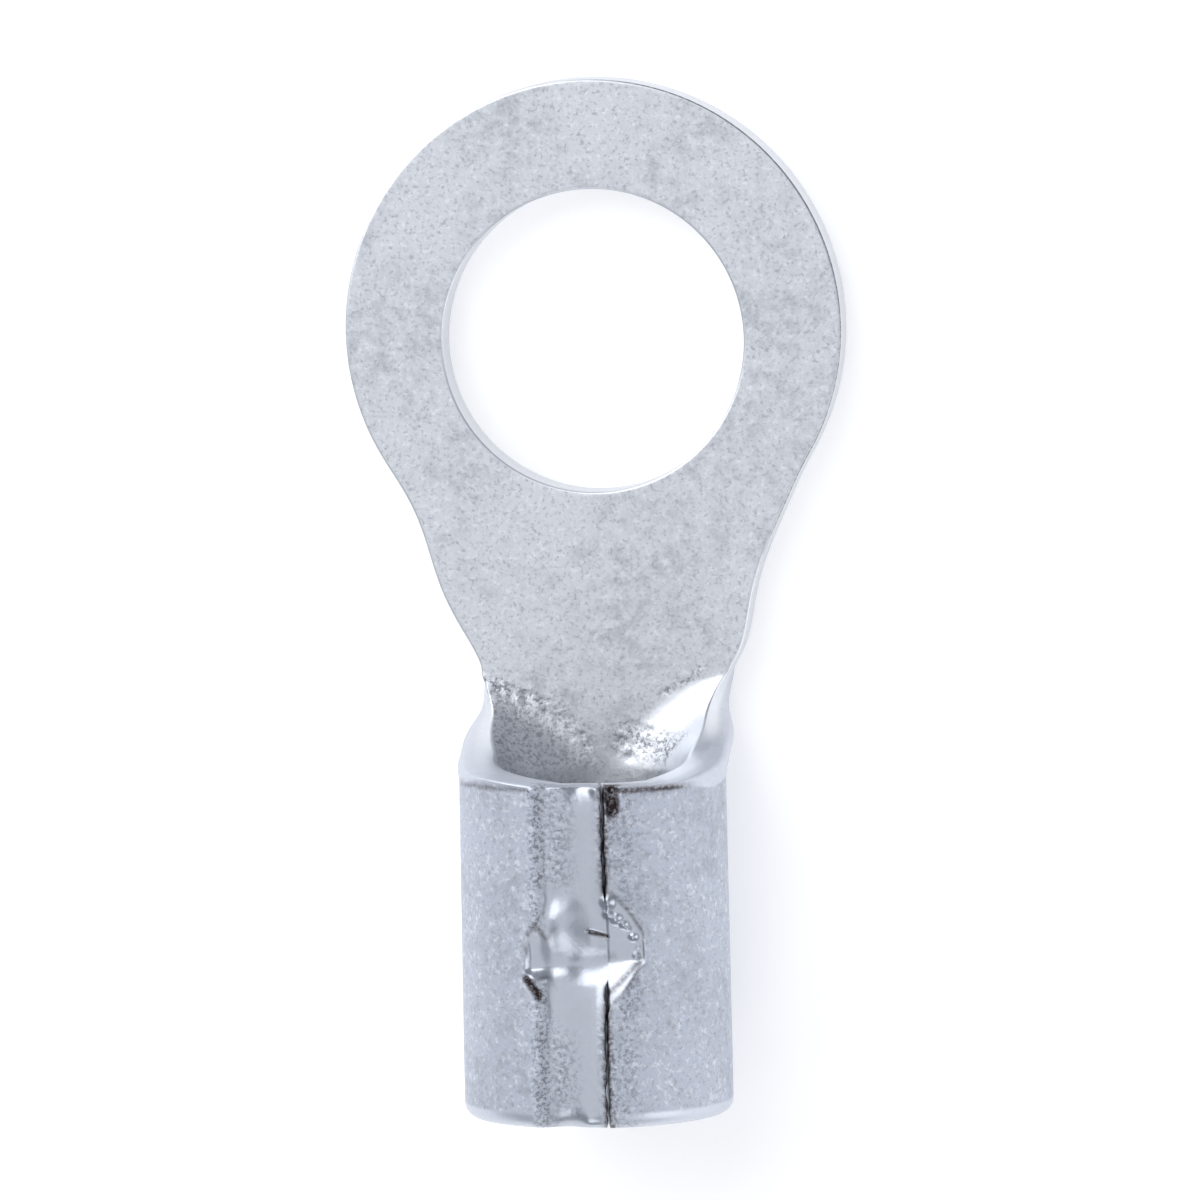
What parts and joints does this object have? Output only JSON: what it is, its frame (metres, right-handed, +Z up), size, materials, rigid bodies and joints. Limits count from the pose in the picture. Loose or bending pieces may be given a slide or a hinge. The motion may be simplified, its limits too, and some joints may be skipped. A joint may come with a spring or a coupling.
{
  "type": "ring terminal",
  "caption": "Bare crimp ring terminal: a flat ring for a stud runs through a folded neck into a rolled barrel with a coined butt seam, which takes a stripped wire.",
  "frame": {"origin": "axis of the stud hole, at the underside of the sheet", "axes": "+Z up through the stud hole, on the side where the seam is; +Y towards the tip of the ring, so the barrel lies towards -Y and opens that way; +X to the right"},
  "size_m": [0.0108, 0.022, 0.0056],
  "materials": {
    "tin_plate": "matte tin plating on copper, finely speckled, brighter where the tools pressed it"
  },
  "bodies": {
    "root": {"terminal_body": "tin_plate"}
  },
  "joints": []
}
